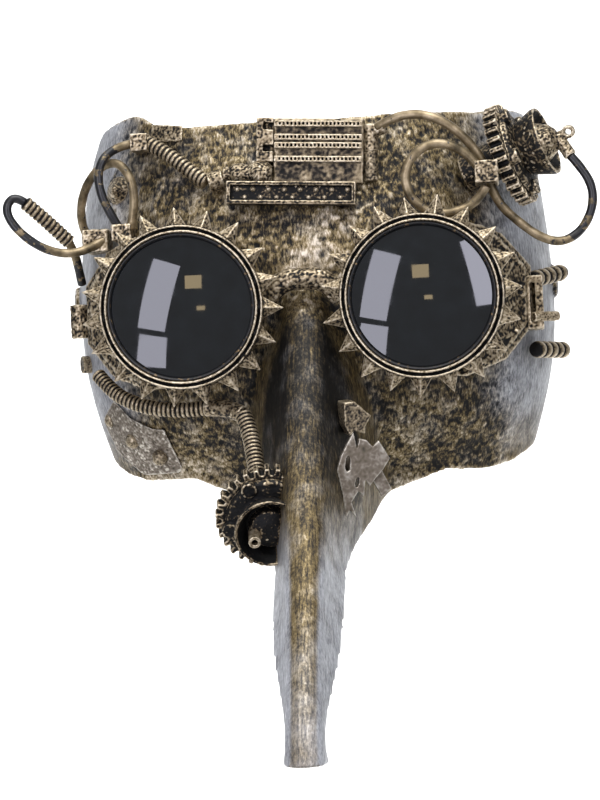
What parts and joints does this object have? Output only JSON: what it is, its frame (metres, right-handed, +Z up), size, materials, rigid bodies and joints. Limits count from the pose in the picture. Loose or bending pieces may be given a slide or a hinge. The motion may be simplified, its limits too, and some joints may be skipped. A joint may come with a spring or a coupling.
{
  "type": "plague doctor mask",
  "caption": "Steampunk plague doctor half mask: open-backed face shell with long hollow beak, round spiked goggles, dummy valves, cogs and looping hoses.",
  "frame": {"origin": "midway between the two rear rims of the face shell, level with the lens centres", "axes": "+Z up, -Y the way the mask looks, +Y towards the wearer's face, +X the wearer's left"},
  "size_m": [0.2101, 0.181, 0.2217],
  "materials": {
    "brushed_shell": "black moulded ABS, dry-brushed bronze on the front and pewter on the sides",
    "gilt_casting": "moulded resin in old gold with black wash in the hollows",
    "antique_casting": "moulded resin, black with rubbed gold edges",
    "pewter_cog": "thin sheet in dull pewter, rubbed at its edges",
    "smoke_lens": "dark smoke acrylic, polished",
    "black_rubber": "satin black",
    "chipped_tube": "black vinyl tube with chipped gold paint",
    "bronzed_hose": "ribbed vinyl hose, bronze on the crests and black in the grooves"
  },
  "bodies": {
    "root": {"brow_block": "antique_casting", "brow_gem": "gilt_casting", "brow_hose": "bronzed_hose", "brow_plate": "antique_casting", "brow_rails": "gilt_casting", "brow_side_pipe": "antique_casting", "brow_tap": "gilt_casting", "cheek_plate": "antique_casting", "cog_post": "pewter_cog", "drop_hose": "bronzed_hose", "face_rivets": "gilt_casting", "front_cog": "pewter_cog", "goggle_bridge": "gilt_casting", "hinge_barrel": "antique_casting", "hose_coupling": "gilt_casting", "hose_elbow": "bronzed_hose", "left_eye_bezel": "gilt_casting", "left_eye_gasket": "black_rubber", "left_eye_housing": "antique_casting", "left_eye_lens": "smoke_lens", "long_tube": "chipped_tube", "lower_stub_hose": "bronzed_hose", "lower_valve_boss": "antique_casting", "lower_valve_cup": "gilt_casting", "lower_valve_flange": "gilt_casting", "lower_valve_nozzle": "gilt_casting", "lower_valve_post": "antique_casting", "lower_valve_wheel": "gilt_casting", "mask_shell": "brushed_shell", "pump_body": "gilt_casting", "rail_clamp": "gilt_casting", "rear_cog": "pewter_cog", "right_eye_bezel": "gilt_casting", "right_eye_gasket": "black_rubber", "right_eye_housing": "antique_casting", "right_eye_lens": "smoke_lens", "ring_tube": "chipped_tube", "side_loop_hose": "bronzed_hose", "side_loop_tube": "chipped_tube", "side_socket": "antique_casting", "side_tail_tube": "chipped_tube", "strap_bar": "antique_casting", "strap_prong": "gilt_casting", "stud_tray": "gilt_casting", "temple_ferrule": "gilt_casting", "temple_inner_tube": "chipped_tube", "temple_outer_tube": "chipped_tube", "temple_socket": "antique_casting", "tray_studs": "gilt_casting", "tube_clip": "antique_casting", "under_eye_hose": "bronzed_hose", "upper_cog": "pewter_cog", "upper_stub_hose": "bronzed_hose", "upper_valve_cup": "gilt_casting", "upper_valve_dome": "gilt_casting", "upper_valve_eyelet": "gilt_casting", "upper_valve_flange": "gilt_casting", "upper_valve_nipple": "gilt_casting", "upper_valve_post": "antique_casting", "upper_valve_wheel": "gilt_casting"}
  },
  "joints": []
}
